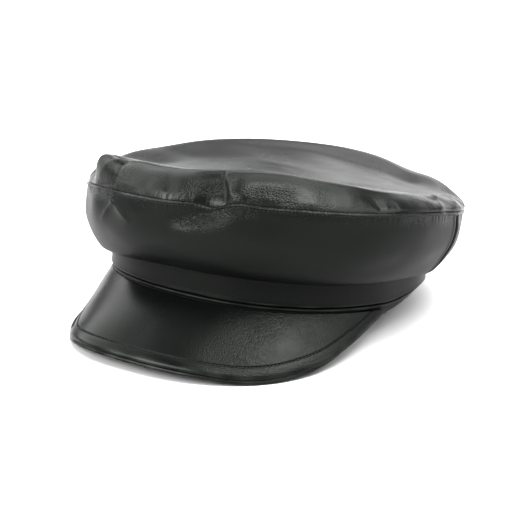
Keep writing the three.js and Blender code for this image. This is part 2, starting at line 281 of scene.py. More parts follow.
def make_piece(name, points, quads, wear=0, grain=1, weld=False):
    """A smooth-shaded object from cap points in mm, with the wear and grain that its leather reads."""
    mesh = bpy.data.meshes.new(name)
    mesh.from_pydata(lay(points).reshape(-1, 3).tolist(), [], quads.tolist())
    for label, amount in (("wear", wear), ("grain", grain)):
        kept = mesh.attributes.new(label, "FLOAT", "POINT")
        everywhere = np.broadcast_to(amount, points.shape[:-1])
        kept.data.foreach_set("value", np.ascontiguousarray(everywhere, np.float32).ravel())
    work = bmesh.new()
    work.from_mesh(mesh)
    if weld:
        bmesh.ops.remove_doubles(work, verts=work.verts, dist=weld_distance)
    bmesh.ops.recalc_face_normals(work, faces=work.faces)
    work.to_mesh(mesh)
    work.free()
    mesh.shade_smooth()
    mesh.set_sharp_from_angle(angle=sharp_from)
    triangles = sum(len(p.vertices) - 2 for p in mesh.polygons)
    print(f"{name}: {triangles:,} triangles")
    return add_object(name, mesh)


def make_wall(name, outer, inner, closed, wear, grain=1, weld=False):
    """A wall of leather between two grids of points. Only its outer face is worn."""
    quads = wall_quads(*outer.shape[:2], closed)
    return make_piece(name, np.stack([outer, inner]), quads, np.stack([wear, 0 * wear]), grain, weld)


# %% [markdown]
# ## How soft leather moves
#
# Black calf on a soft crown never lies even. It has slow swells where a hand or a box has pressed it, small
# gathers that the seam's thread pulls in, and sharp creases where it folded. Sculpting could make them too,
# but sums of waves and hills can be repeated exactly.

# %% Slow swells, the same in every direction
def swells(points, wavelength, seed, count=14):
    """Smooth random heights between about -1 and 1, from a sum of waves in random directions."""
    random = np.random.default_rng(seed)
    total = np.zeros(points.shape[:-1])
    for _ in range(count):
        direction = random.normal(size=3)
        direction *= 2 * math.pi / wavelength / np.linalg.norm(direction) * random.uniform(0.7, 1.4)
        total += np.sin(points @ direction + random.uniform(0, 2 * math.pi))
    return total / math.sqrt(count)


# %% Gathers round the seam
broad_gathers, fine_gathers = (30, 90), (110, 260)  # how many there are to a full turn


def gathers(angle, low, high, seed, count=16):
    """Random ripples round the cap, with low to high of them in a full turn."""
    random = np.random.default_rng(seed)
    total = np.zeros(np.shape(angle))
    for _ in range(count):
        total += np.sin(random.integers(low, high) * np.radians(angle) + random.uniform(0, 2 * math.pi))
    return total / math.sqrt(count)


# %% Broad dents and folds
broad_folds = [
    # name, angle and half width in degrees, place and half length along the leather in mm, lift in mm
    ("left shoulder", -41, 9, 19, 7, 3.2),
    ("left lean", -43, 11, 8, 6, -3.6),
    ("left fold ridge", -19, 6, 19, 9, 1.0),
    ("left dish hollow", -48, 34, 50, 17, -3.5),
    ("front crest", 38, 32, 22, 9, 1.9),
    ("right dish swell", 92, 27, 50, 17, 3),
    ("right valley", 147, 18, 39, 12, -2.4),
    ("front dimple", 16.5, 5, 9.5, 8, -3.8),
    ("dimple's ridge", 24, 4, 8, 8, 1.4),
    ("right front dent", 67, 6, 9, 8, -2),
    ("right fold", 100, 5, 12, 12, -2.4),
    ("left pucker", -30, 5, -12, 9, 1.2),
    ("left side fullness", -44, 8, -24, 12, 0.6),
    ("front side dent", 15.5, 6, -4, 8.5, -5),
    ("front side dent's foot", 9, 5, -11, 6, -2.6),
    ("back left sag", -120, 14, 16, 20, -2.5),
    ("back right sag", 160, 12, 18, 18, -2),
]


def fold_lift(angle, along):
    """The broad folds' height, in mm."""
    total = np.zeros(np.broadcast(angle, along).shape)
    for _, middle, width, place, length, lift in broad_folds:
        total += lift * hill(from_front(angle - middle), 0, width) * hill(along, place, length)
    return total


print(len(broad_folds), "broad dents and folds")

# %% Sharp creases
mm_per_degree = math.radians(seam_reach)
crease_softness, crease_tail = 0.2, 3  # how round its edge is, in widths, and how far it runs out, in mm
creases = [
    # name, start and end as (angle, mm from the seam), left and right slope in mm, lift in mm
    ("left fold edge", (-19.6, 1), (-20.8, 17), 0.9, 4, 1.4),
    ("pucker", (-20, 0), (-20.6, -9), 1.5, 1.7, 1.1),
    ("left pucker arm", (-20.6, -8), (-25.5, -18), 2.2, 2.4, 1.1),
    ("right pucker arm", (-20.4, -7), (-13, -16), 2.2, 2.6, 1.1),
    ("dimple's cut", (20.5, 0), (18, 18), 2.6, 0.9, -2.6),
    ("dimple's lip", (22.8, 2), (21, 11), 1.2, 4, 1.3),
    ("right end fold", (94, 2), (112, 24), 1.6, 3.2, 1.4),
    ("right end fold 2", (104, 2), (119, 14), 1.5, 3, 1.3),
    ("front right tuck", (67, 1), (65, 13), 2, 2, -0.7),
    ("side hollow's lower rim", (6, -17), (21, -12.5), 2.6, 3.5, 0.7),
]


def crease_lift(angle, along):
    """The sharp creases' height, in mm."""
    total = np.zeros(np.broadcast(angle, along).shape)
    for _, (a0, s0), (a1, s1), left, right, lift in creases:
        x = from_front(angle - a0) * mm_per_degree
        y = along - s0
        run = np.array([(a1 - a0) * mm_per_degree, s1 - s0])
        length = math.hypot(*run)
        run = run / length
        share = (x * run[0] + y * run[1]) / length
        side = x * run[1] - y * run[0]
        beyond = np.maximum(0, np.maximum(-share, share - 1)) * length
        width = np.where(side < 0, left, right)
        end = np.clip(1 - np.abs(2 * share - 1), 0, 1)
        strength = 0.45 + 0.55 * np.sin(end * math.pi / 2)
        ridge = np.sqrt((side / width) ** 2 + crease_softness**2) - crease_softness
        total += lift * strength * np.exp(-ridge) * hill(beyond, 0, crease_tail)
    return total


print(len(creases), "sharp creases")

# %% The pleat at the left
pleat_start, start_slant = -33, 9 / 17  # where it starts at the seam, and how far that moves for each mm up
pleat_edge, edge_slant = -20.4, -0.07
pleat_rise, pleat_sink = 5, 2.8  # mm


def pleat_lift(angle, along):
    """A flat facet that sinks towards a folded edge, wide at the seam and narrow at its tip."""
    angle = from_front(angle)
    start, edge = pleat_start + start_slant * along, pleat_edge + edge_slant * along
    share = np.clip((angle - start) / np.maximum(edge - start, 2), 0, 1)
    inside = smoothstep(angle, -42, -34) * (1 - smoothstep(angle, edge - 0.3, edge + 1))
    wall = pleat_rise * smoothstep(along, 1, 12) * (1 - smoothstep(along, 14, 22)) * (1 - 0.45 * share)
    sunk = pleat_sink * share * smoothstep(along, 0, 1.5) * (1 - smoothstep(along, 11, 18))
    return inside * (wall - sunk)


# %% The crest's edge
crest_angles = [-24, -9, 2, 19, 35, 51, 69, 90]
crest_places = [19, 21.5, 21.5, 24.3, 22.9, 21.2, 17.1, 16]  # mm from the seam
crest_height, crest_width = 0.55, 2.4


def crest_lift(angle, along):
    """A narrow ridge where the crown's front turns into its dish."""
    angle = from_front(angle)
    place = np.interp(angle, crest_angles, crest_places)
    strength = smoothstep(angle, -18, -2) * (1 - smoothstep(angle, 66, 92))
    ridge = np.sqrt(((along - place) / crest_width) ** 2 + 0.05) - 0.22
    return crest_height * strength * np.exp(-ridge)

# %% [markdown]
# ## The crown's surface
#
# The crown is three panels: a round top, and a front and a back side panel. Each column of points follows a
# profile. The top panel leans in a little, climbs over a puffed crest and sinks into a shallow dish. The side
# panel falls from the seam, rolls under, and tucks in behind the strap. Distances are measured along the
# leather from the seam, positive on top and negative on the side, so a fold can be given by where it lies.

# %% Profiles from the seam, and points paid out along them
profile_steps = 500


def bend_through(knots, steps):
    """Points on smooth curves through knots, given as (columns, knots, reach and height)."""
    count = knots.shape[1]
    place = np.linspace(0, count - 1, steps)
    row = np.minimum(np.floor(place).astype(int), count - 2)
    a, b, c, d = (knots[:, np.clip(row + k, 0, count - 1)] for k in (-1, 0, 1, 2))
    return cubic(a, b, c, d, (place - row)[None, :, None])


def side_knots(angle):
    """The side panel's profile: down from the seam, round the roll, and in behind the strap."""
    seam = crown_value("seam", angle) - seam_gap / 2
    hang, taper = crown_value("hang", angle), crown_value("taper", angle)
    fall = seam - hang
    shape = [(0, 0, 0), (0.4, 0.45, 0.27), (-0.9, 1, 0.57), (-7.5, 1.1, 0.86)]
    knots = [(seam_reach + out - drawn * taper, seam - down * fall) for out, drawn, down in shape]
    knots.append((strap_reach + 5.5 - 0.35 * taper, hang))
    behind = -gap - strap_wall
    for out, up in [(2.2, 1), (0, 1.4), (0.1 + behind, 0.5), (-0.1 + behind, head_height + gap - strap_top)]:
        knots.append((strap_reach + out + 0 * angle, strap_top + up + 0 * angle))
    return knots


def top_knots(angle):
    """The top panel's profile: up from the seam to the crest, and through the dish to the middle."""
    seam = crown_value("seam", angle) + seam_gap / 2
    rise = crown_value("crest", angle) - seam
    inset, dish, lean = (crown_value(column, angle) for column in ("inset", "dish", "lean"))
    climb = [(0, 0), (lean, 0.34), (0.4 + 0.4 * lean, 0.84), (1, 1)]
    knots = [(seam_reach - drawn_in * inset, seam + share * rise) for drawn_in, share in climb]
    for reach, dished in [(0.62, 1), (0.3, 0.28), (0, 0)]:
        knots.append((seam_reach * reach + 0 * angle, centre_height + dished * (dish - centre_height)))
    return knots


def at_distances(wanted, run, profiles):
    """The points of each profile at the wanted distances along it."""
    rows = [[np.interp(w, r, line[:, k]) for k in (0, 1)] for w, r, line in zip(wanted, run, profiles)]
    return np.moveaxis(np.array(rows), 1, 2)


def pay_out(knots, rows, fine):
    """Points along each profile, closer together near the seam, with their distance from it."""
    dense = bend_through(np.stack([np.stack(knot, -1) for knot in knots], 1), profile_steps)
    step = size_of(np.diff(dense, axis=1))[..., 0]
    run = np.concatenate([np.zeros((len(dense), 1)), np.cumsum(step, axis=1)], axis=1)
    share = np.linspace(0, 1, rows)
    wanted = (fine * share + (1 - fine) * share**2) * run[:, -1:]
    return at_distances(wanted, run, dense), wanted


# %% Crown points with their broad folds
kinks = [(-2.8, 16, 4.5), (1.2, 25, 3.5)]  # mm up, middle and half width in degrees
kink_length = 9


def kink(angle, along):
    """The seam line's own small wave beside the dimple."""
    wave = sum(lift * hill(angle, middle, width) for lift, middle, width in kinks)
    return wave * hill(along, 0, kink_length)


def crown_points(angle, profile, along):
    """Points on the crown, with the broad folds lifting them out by the seam and up further in."""
    lift = fold_lift(angle, along) + np.where(along > 0, pleat_lift(angle, along), 0)
    turned = math.pi / 2 * smoothstep(along, 2, 26)
    reach, height = np.maximum(profile[..., 0], 0), profile[..., 1]
    on_top = along > 0
    extra = np.where(on_top, longer * reach / seam_reach, longer)
    free = np.where(on_top, 1, smoothstep(reach, strap_reach, seam_reach))
    squareness = band_squareness + (crown_squareness - band_squareness) * free
    height = height + lift * np.sin(turned) + kink(angle, along)
    return ring(angle, reach + lift * np.cos(turned), height, squareness, extra)


# %% [markdown]
# ## The seam and its gathers
#
# Along the seam the side panel's edge is turned under and sewn down, which makes a thin raised welt with a
# row of stitches under it, and the top panel dips in slightly. The thread pulls the leather in, and looser
# gathers run out from it on both sides. All of this is small, so it moves the points along their normals.

# %% Heights of the fine detail, in mm
stitch_pitch = 2.2
stitch_count = round(2 * math.pi * seam_reach * 1.01 / stitch_pitch)


def puckered(angle):
    """Where the thread is pulled tight, from 0 to 1."""
    return np.clip(0.45 + 0.5 * gathers(angle, 4, 26, 5), 0.1, 1)


def top_detail(angle, along, points):
    """The top panel: gathers by the seam, swells further in, creases and the crest's edge."""
    dip = -0.12 * hill(along, 0, 0.4)
    pulls = 0.08 * gathers(angle, *broad_gathers, 11) * hill(along, 4, 5)
    dents = 0.07 * swells(points, 15, 15) * hill(along, 8, 8)
    fine_pulls = 0.12 * gathers(angle, *fine_gathers, 12) * hill(along, 2.5, 3) * puckered(angle)
    soft = 0.4 * swells(points, 60, 13) + 0.03 * swells(points, 24, 14)
    folded = crease_lift(angle, along) + crest_lift(angle, along)
    return dip + pulls + fine_pulls + dents + soft * smoothstep(along, 2, 20) + folded


def side_pulls(angle, down):
    """The gathers that the seam's thread pulls in the side panels."""
    fine = 0.14 * gathers(angle, *fine_gathers, 22) * hill(down, 3.5, 2.5) * puckered(angle)
    return 0.07 * gathers(angle, *broad_gathers, 21) * hill(down, 4, 3) + fine


def side_detail(angle, along, points):
    """A side panel: its turned edge, gathers, swells and creases, plain where it is tucked in."""
    down = -along
    edge = -0.9 * hill(down, 0, 0.6)
    soft = 0.5 * swells(points * [1, 1, 1.6], 48, 23) + 0.03 * swells(points, 17, 24)
    soft = soft * smoothstep(down, 1, 12) * smoothstep(points[..., 2], strap_top + 1, strap_top + 14)
    tucked = smoothstep(points[..., 2], strap_top - 6, strap_top + 3)
    return edge + side_pulls(angle, down) + (soft + crease_lift(angle, along)) * tucked


# %% Wear: where the finish has rubbed thin, from 0 to 1
def crown_wear(angle, along, points):
    """Wear beside the seam, on the creases and over the crest."""
    rub = np.exp(-((np.abs(along) - 1.6) ** 2) / 1.5)
    folds = np.clip(crease_lift(angle, along) / 2.5, 0, 1)
    crest = 0.35 * hill(along, 22, 7)
    patches = np.clip(0.5 + 0.5 * swells(points, 30, 31), 0, 1)
    return np.clip((0.7 * rub + folds + crest) * patches, 0, 1)


# %% Grain: how far it stands up, from 0 to 1
def crown_grain(angle, along, points):
    """Loose leather by the seam shows its grain, and leather stretched over the dish lies smooth."""
    patches = np.clip(0.55 + 0.45 * swells(points, 22, 35), 0.1, 1)
    by_seam = np.where(along > 0, 1 - smoothstep(along, 12, 22), 1 - smoothstep(-along, 4, 12))
    pressed = hill(from_front(angle), 13, 9) * hill(along, -10, 8)
    return np.clip(0.1 + 0.9 * np.maximum(by_seam * patches, pressed), 0, 1)


# %% [markdown]
# ## Crown pieces
#
# With the surface written down, each panel is one call. The side panels' ends stop just short of each other
# and roll in, so the side seams show as soft dark lines. The top panel's columns meet in the middle, where
# their points are welded into one.

# %% One panel of the crown
def end_roll(angles):
    """How far a side panel turns in at its two ends, in mm."""
    from_end = np.minimum(angles - angles[0], angles[-1] - angles)[:, None] * mm_per_degree
    return 4 * hill(from_end, -0.2, 1.5) - 0.5 * hill(from_end, 3.6, 1.8)


def crown_panel(name, angles, knots, rows, fine, detail, closed):
    """The closed top panel, or a side panel with its two ends."""
    angle = angles[:, None]
    profile, run = pay_out(knots(angles), rows, fine)
    along = run if closed else -run
    smooth = crown_points(angle, profile, along)
    outward = normals(smooth, closed, -1 if closed else 1)
    if closed:
        outward[:, -1] = (0, 0, 1)
    turned_in = 0 * along if closed else end_roll(angles)
    outer = smooth + (detail(angle, along, smooth) - turned_in)[..., None] * outward
    inner = smooth - (leather + turned_in)[..., None] * outward
    wear, grain = (finish(angle, along, smooth) for finish in (crown_wear, crown_grain))
    return make_wall(name, outer, inner, closed, wear, grain, weld=closed)


# %% Make the top panel, with its columns closer together at the front
crown_columns = 600
even_turn = np.arange(crown_columns) * 360 / crown_columns
all_round = even_turn - 24 * np.sin(np.radians(even_turn - 20))
crown_top = crown_panel("top_panel", all_round, top_knots, rows=72, fine=0.35, detail=top_detail, closed=True)

# %% Make the two side panels
side_clearance = 0.04  # mm that each end stops short of the side seam
column_spacing = 0.47  # degrees
end_gap = math.degrees(side_clearance / seam_reach)


def side_panel(name, start, stop):
    """A side panel from one side seam to the other."""
    columns = round((stop - start) / column_spacing) + 1
    angles = np.linspace(start + end_gap, stop - end_gap, columns)
    return crown_panel(name, angles, side_knots, rows=88, fine=0.5, detail=side_detail, closed=False)


crown_side_front = side_panel("front_side_panel", -side_seam_angle, side_seam_angle)
crown_side_back = side_panel("back_side_panel", side_seam_angle, 360 - side_seam_angle)

# %% [markdown]
# ## The welt
#
# The turned edge is a ridge hardly wider than a match, and the stitches pinch it at every hole. At the
# panels' spacing that would be lost, so the ridge is a strip of its own with three columns to a stitch. Its
# two long edges sink into the leather on both sides.

# %% Make the welt
def on_side(angles, depth):
    """Smooth side-panel points and normals at each angle and each depth below the seam."""
    profile, run = pay_out(side_knots(angles), rows=400, fine=0.4)
    rows = at_distances([depth] * len(run), run, profile)
    along = -np.broadcast_to(depth, rows.shape[:2])
    points = crown_points(angles[:, None], rows, along)
    return points, normals(points, True), along


def sewn_height(angle, along):
    """The side panel's fine detail without its swells, which fade out near the seam."""
    return side_pulls(angle, -along) + crease_lift(angle, along)


welt_columns = stitch_count * 3
welt_angles = np.arange(welt_columns) * 360 / welt_columns
welt_depth = np.array([0.03, 0.25, 0.6, 1.0, 1.4, 1.75, 2.1, 2.5, 2.9, 3.4])
welt_rise = np.array([-0.2, 0.1, 0.5, 0.85, 0.95, 0.65, 0.05, -0.25, -0.05, -0.35])
welt_smooth, welt_normal, welt_along = on_side(welt_angles, welt_depth)
pinch = np.cos(np.radians(welt_angles) * stitch_count)[:, None]
pinch_depth = 0.16 * puckered(welt_angles)[:, None] * hill(welt_depth, 2.1, 0.9)
welt_height = welt_rise + sewn_height(welt_angles[:, None], welt_along) - pinch_depth * pinch
welt_outer = welt_smooth + welt_height[..., None] * welt_normal
welt_inner = welt_smooth - 0.9 * welt_normal
worn_places = np.clip(0.55 + 0.5 * gathers(welt_angles, 5, 40, 33), 0, 1)[:, None]
welt = make_wall("seam_welt", welt_outer, welt_inner, True, hill(welt_depth, 1, 0.6) * worn_places)

# %% [markdown]
# ## Stitches
#
# A stitch is waxed thread that goes in at both ends, so what shows is a small bar with rounded ends, half
# sunk in the leather. One bar is made and copied along a line by its direction and the leather's normal.
# Joining them all in one mesh keeps the scene light.

# %% A row of stitches along a line
def capsule(sides=6):
    """A unit stitch along X, one long and one thick, as points and faces."""
    stations = [(-0.5, 0), (-0.46, 0.6), (-0.3, 0.95), (0, 1), (0.3, 0.95), (0.46, 0.6), (0.5, 0)]
    around = np.arange(sides) * 2 * math.pi / sides
    points = [[x, 0.5 * r * math.cos(a), 0.5 * r * math.sin(a)] for x, r in stations for a in around]
    return np.array(points), loop_quads(len(stations), sides)


def sew(name, places, along, up, length, thickness, seed):
    """Stitches at places, each turned along its line, with a little unevenness."""
    random = np.random.default_rng(seed)
    bar, faces = capsule()
    along = unit(along)
    across = unit(np.cross(up, along))
    up = np.cross(along, across)
    lengths = length * random.uniform(0.9, 1.06, len(places))
    skew = random.uniform(-0.05, 0.13, len(places))[:, None]
    along = along + skew * across
    thick = np.full(len(places), thickness)
    sized = bar * np.stack([lengths, thick, thick], 1)[:, None]
    points = places[:, None] + sized[..., :1] * along[:, None] + sized[..., 1:2] * across[:, None]
    points = points + sized[..., 2:] * up[:, None]
    quads = (faces[None] + (np.arange(len(places)) * len(bar))[:, None, None]).reshape(-1, 4)
    print(f"{len(places)} stitches of {length} mm")
    return make_piece(name, points, quads, weld=True)


# %% Sew under the welt
sewn_depth = np.array([2.0, 2.25, 2.5])  # the stitches lie at the middle one
stitch_angles = (np.arange(stitch_count) + 0.5) * 360 / stitch_count
sewn, sewn_up, sewn_from_seam = (part[:, 1] for part in on_side(stitch_angles, sewn_depth))
sewn = sewn + (sewn_height(stitch_angles, sewn_from_seam) - 0.1)[:, None] * sewn_up
sewn_run = np.roll(sewn, -1, 0) - np.roll(sewn, 1, 0)
seam_stitches = sew("seam_stitches", sewn, sewn_run, sewn_up, length=1.45, thickness=0.5, seed=41)

# %% [markdown]
# ## Headband and strap
#
# The headband is a stiff ring of leather with its lower edge turned in over a cord, which shows as a bright
# bead below the strap. The strap is a flat belt with folded edges. Both have one section all the way round,
# so each is an outline of its section swept along the cap's ring, with only slight swells added.

# %% Sweep a section round the cap
def smooth_outline(corners, steps):
    """A smooth open line through (reach, height) corners."""
    return bend_through(np.array([corners], float), steps)[0]


def arched(angle, height):
    """A height on the band, whose lower edge arches up between the peak's ends and the back."""
    turned = np.abs(from_front(angle))
    amount = smoothstep(turned, arch_from, arch_full) * (1 - smoothstep(turned, arch_easing, arch_to))
    return height + arch_rise * amount * np.maximum(0, 1 - height / head_height)


def band(name, outer, inner, seed, swell, wear_at, flatten):
    """A section swept round the cap, worn along its edges, and flattened where it meets the table."""
    angles = np.arange(crown_columns)[:, None] * 360 / crown_columns
    face = lambda line: ring(angles, line[None, :, 0], arched(angles, line[None, :, 1]), band_squareness)
    smooth, backing = face(outer), face(inner)
    smooth = smooth + (swell * swells(smooth, 40, seed))[..., None] * normals(smooth, True)
    if flatten:
        smooth, backing = settle(smooth), settle(backing)
    wear = hill(np.abs(outer[:, 1][:, None] - np.array(wear_at)).min(1), 0, 0.7)
    wear = wear * np.clip(0.5 + 0.5 * gathers(angles, 3, 30, seed + 1), 0, 1)
    return make_wall(name, smooth, backing, True, wear)


# %% Make the headband
hem = [
    (0, head_height), (0, 16), (0, strap_low + 0.6), (-0.1, strap_low - 0.2), (1.0, strap_low - 0.8),
    (1.6, strap_low - 1.7), (1.1, strap_low - 2.6), (-0.1, strap_low - 3.2), (-gap, peak_root - 0.2),
    (-0.8, 1.8), (-1.7, 0.5), (-2.8, 0),
]
hem_line = smooth_outline([(head_reach + out, up) for out, up in hem], 46)
hem_back = np.stack([np.minimum(hem_line[:, 0], head_reach) - head_wall, hem_line[:, 1]], 1)
headband = band("headband_leather", hem_line, hem_back, 51, 0.08, [strap_low - 1.7, 0.5], True)

# %% Make the strap
fold = 0.75
behind_strap = head_reach + gap
strap_face = [
    (-fold, strap_top), (-0.1, strap_top - 0.35), (0.12, strap_top - 1.2), (0.02, strap_top - 3),
    (0.06, strap_low + 8), (0.02, strap_low + 3), (0.15, strap_low + 1.2), (-0.1, strap_low + 0.35),
    (-fold, strap_low),
]
strap_line = [(strap_reach + out, up) for out, up in strap_face]
strap_line = smooth_outline([(behind_strap, strap_top), *strap_line, (behind_strap, strap_low)], 40)
strap_back = np.stack([np.minimum(behind_strap, strap_line[:, 0] - 0.01), strap_line[:, 1]], 1)
strap = band("strap_leather", strap_line, strap_back, 55, 0.12, [strap_low + 0.4, strap_top - 0.4], False)

# %% [markdown]
# ## The peak
#
# The peak is a stiff board with leather stretched over it and a second leather glued below. Both turn over
# at the edge, which shows two thin rolls with a groove between them. Six millimetres in runs a line of
# small stitches, in a groove that they pull. Each layer is a closed section: out along its upper face,
# round the rolled edge, and back. A bevel could round the edge too, but not draw the faces in to it.

# %% The peak's plain surface at any depth
end_thinning = 0.3  # the share of its thickness that the leather loses at the peak's ends


def peak_sheet(angles, depth, shares):
    """Points at shares of the way from the root to the edge, before the edge is rolled."""
    share = np.minimum(np.abs(angles) / peak_angle, 1)
    slope = np.radians(peak_value(peak_slope, angles))
    thin = 1 - end_thinning * share**3
    square = smoothstep(slope, math.radians(45), math.radians(80))
    turned = np.radians(angles * peak_fan + peak_value(peak_splay, angles))
    out = np.stack([np.sin(turned), -np.cos(turned), 0 * turned], -1)
    up = np.array([0, 0, 1.0])
    down = out * np.cos(slope)[:, None] - up * np.sin(slope)[:, None]
    normal = out * np.sin(slope)[:, None] + up * np.cos(slope)[:, None]

    def root(below):
        height = peak_root - below * thin * (1 - square * np.sin(slope) ** 2) / np.cos(slope)
        stacked = (peak_walls - below) * thin * np.sin(slope) * square
        return ring(angles, head_reach + stacked, height, band_squareness)

    upright = np.tan(slope) * (1 - square)
    reach = peak_length(angles) + depth * thin * upright
    edge = root(0) + down * reach[:, None] - normal * (depth * thin)[:, None]
    bulge = peak_bulge * np.cos(math.pi / 2 * share)
    t = shares[..., None]
    start = root(depth)[:, None]
    points = start + (edge[:, None] - start) * t
    return points + normal[:, None] * (bulge[:, None] * np.sin(math.pi * t[..., 0]))[..., None]


# %% Rows of the peak, set closer together where the stitches run
def inside_edge(face):
    """How far in from the peak's edge each point lies, in mm."""
    edge = face[None, :, -1]
    return np.stack([size_of(row[:, None] - edge)[..., 0].min(1) for row in np.moveaxis(face, 1, 0)], 1)


peak_columns, even_rows = 300, 80
stitch_inset, beside_stitches = 6.2, 1.3
peak_angles = np.linspace(-peak_angle, peak_angle, peak_columns)
even = np.broadcast_to(np.linspace(0, 1, even_rows), (peak_columns, even_rows))
even_inset = inside_edge(peak_sheet(peak_angles, 0, even))
peak_shares = []
beside = (stitch_inset + beside_stitches, stitch_inset - beside_stitches)
for insets, shares in zip(even_inset, even):
    outer, inner = (np.interp(-wanted, -insets, shares) for wanted in beside)
    runs = [np.linspace(0, outer, 20)[:-1], np.linspace(outer, inner, 20)[:-1], np.linspace(inner, 1, 22)]
    peak_shares.append(np.concatenate(runs))
peak_shares = np.array(peak_shares)
bend_up = below_floor(peak_sheet(peak_angles, peak_walls, peak_shares))
print("the peak's edge is bent up by at most", bend_up.max().round(2), "mm")


def bent_sheet(depth, shares):
    """The peak's surface, bent up where it would go through the table."""
    return peak_sheet(peak_angles, depth, shares) + bend_up[..., None] * floor_up


top_face = bent_sheet(0, peak_shares)
inset = inside_edge(top_face)
print("widest part of the peak:", inset.max().round(1), "mm from its edge")


# %% Roll the edge of a layer
roll_rows = 9
roll_draw, draw_reach = 0.75, 3  # how far the edge is drawn in, and how far back it pulls the faces, in radii


def rolled(upper, lower):
    """One loop of rows: out along the upper face, round the edge, and back along the lower face."""
    middle = (upper[:, -1] + lower[:, -1]) / 2
    half = (upper[:, -1] - lower[:, -1]) / 2
    out = unit(upper[:, -1] - upper[:, -3])
    radius = size_of(half)
    back_in = roll_draw * radius * smoothstep(peak_length(peak_angles), 3, 12)[:, None]
    for face in (upper, lower):
        pulled = hill(size_of(face - face[:, -1:]), 0, draw_reach * radius[:, None])
        face -= pulled * back_in[:, None] * out[:, None]
    middle = middle - back_in * out
    bends = np.radians(np.linspace(90, -90, roll_rows + 2))[1:-1]
    roll = [middle + half * math.sin(b) + out * radius * math.cos(b) for b in bends]
    return np.concatenate([upper, np.stack(roll, 1), lower[:, ::-1]], axis=1)


# %% Make the two layers of the peak
drawn_back = 2.2  # mm that the under leather's edge stays behind at the sides


def peak_layer(name, depth, wall, raised, seed):
    """One leather of the peak, from depth down through its wall, with its upper face raised."""
    drawn_in = drawn_back * (depth > 0) * smoothstep(np.abs(peak_angles), 40, 70) / peak_length(peak_angles)
    shares = peak_shares * (1 - np.minimum(drawn_in, 0.5))[:, None]
    upper, lower = bent_sheet(depth, shares), bent_sheet(depth + wall, shares)
    upper = upper + raised[..., None] * normals(upper, False)
    loop = rolled(upper, lower)
    columns, around = loop.shape[:2]
    from_edge = np.concatenate([inset, np.zeros((columns, roll_rows)), inset[:, ::-1]], axis=1)
    wear = hill(from_edge, 0, 1.2) * np.clip(0.5 + 0.5 * gathers(peak_angles, 4, 60, seed), 0, 1)[:, None]
    grain = 0.2 + 0.8 * smoothstep(peak_angles, 8, 28)[:, None]
    piece = make_piece(name, loop, loop_quads(columns, around), wear, grain)
    work = bmesh.new()
    work.from_mesh(piece.data)
    work.verts.ensure_lookup_table()
    last = (columns - 1) * around
    for end in (range(around - 1, -1, -1), range(last, last + around)):
        work.faces.new([work.verts[k] for k in end])
    bmesh.ops.recalc_face_normals(work, faces=work.faces)
    work.to_mesh(piece.data)
    work.free()
    return piece


groove = -0.6 * hill(inset, stitch_inset, 0.4)
border = 0.22 * np.clip(1 - ((inset - stitch_inset / 2) / (stitch_inset / 2)) ** 2, 0, 1)
stretched = 0.1 * swells(top_face, 34, 61) * smoothstep(inset, 6, 11)
peak_top = peak_layer("peak_upper", 0, peak_top_wall, groove + border + stretched, 62)
peak_under = peak_layer("peak_lower", peak_top_wall + gap, peak_under_wall, 0 * inset, 64)

# %% Sew the peak's border
line = []
for face_row, depths in zip(top_face, inset):
    crossed = np.nonzero((depths[:-1] >= stitch_inset) & (depths[1:] < stitch_inset))[0]
    if len(crossed):
        k = crossed[-1]
        t = (depths[k] - stitch_inset) / (depths[k] - depths[k + 1])
        line.append(face_row[k] * (1 - t) + face_row[k + 1] * t)
line = np.array(line)
peak_normals = normals(top_face, False)
run = np.concatenate([[0], np.cumsum(np.linalg.norm(np.diff(line, axis=0), axis=1))])
border_pitch, half_step = 2.3, 0.5
marks = np.arange(border_pitch / 2, run[-1], border_pitch)


def on_line(marks):
    """Places on the stitched line, by their distance along it."""
    return np.stack([np.interp(marks, run, line[:, k]) for k in range(3)], 1)


places = on_line(marks)
line_run = on_line(marks + half_step) - on_line(marks - half_step)
nearest = [np.argmin(((top_face.reshape(-1, 3) - place) ** 2).sum(1)) for place in places]
border_up = peak_normals.reshape(-1, 3)[nearest]
places = places - 0.45 * border_up
border_stitches = sew("peak_stitches", places, line_run, border_up, length=1.65, thickness=0.46, seed=66)
print(f"the peak's stitched line is {run[-1]:.0f} mm long")

# %% [markdown]
# ## Leather
#
# Black calf is dyed through and finished with a thin clear coat. Most of what is seen is what it reflects:
# dark where it faces the viewer, pale where the light skims it. A pebbled grain of small cells, finer pores
# in it, and a shine that changes from place to place make it leather and not plastic. The grain could be
# painted as an image, but noise and cell textures stay sharp at any distance.

# %% Nodes, with their inputs filled in one step
def new_material(name):
    """A material, its node tree and its shader."""
    material = bpy.data.materials.new(name)
    material.use_nodes = True
    return material, material.node_tree, material.node_tree.nodes["Principled BSDF"]


def fill(target, inputs):
    """Give each input its value, or link it to the output of another node."""
    for key, value in inputs.items():
        if isinstance(value, bpy.types.NodeSocket):
            target.id_data.links.new(value, target.inputs[key])
        else:
            target.inputs[key].default_value = value


def node(tree, kind, inputs, output=0, **settings):
    """The wanted output of a new node."""
    made = tree.nodes.new("ShaderNode" + kind)
    for key, value in settings.items():
        setattr(made, key, value)
    fill(made, inputs)
    return made.outputs[output]


# %% A leather material from its tones, shine and grain
warp_share, pore_share, worn_shine = 0.0009, 0.45, -0.07


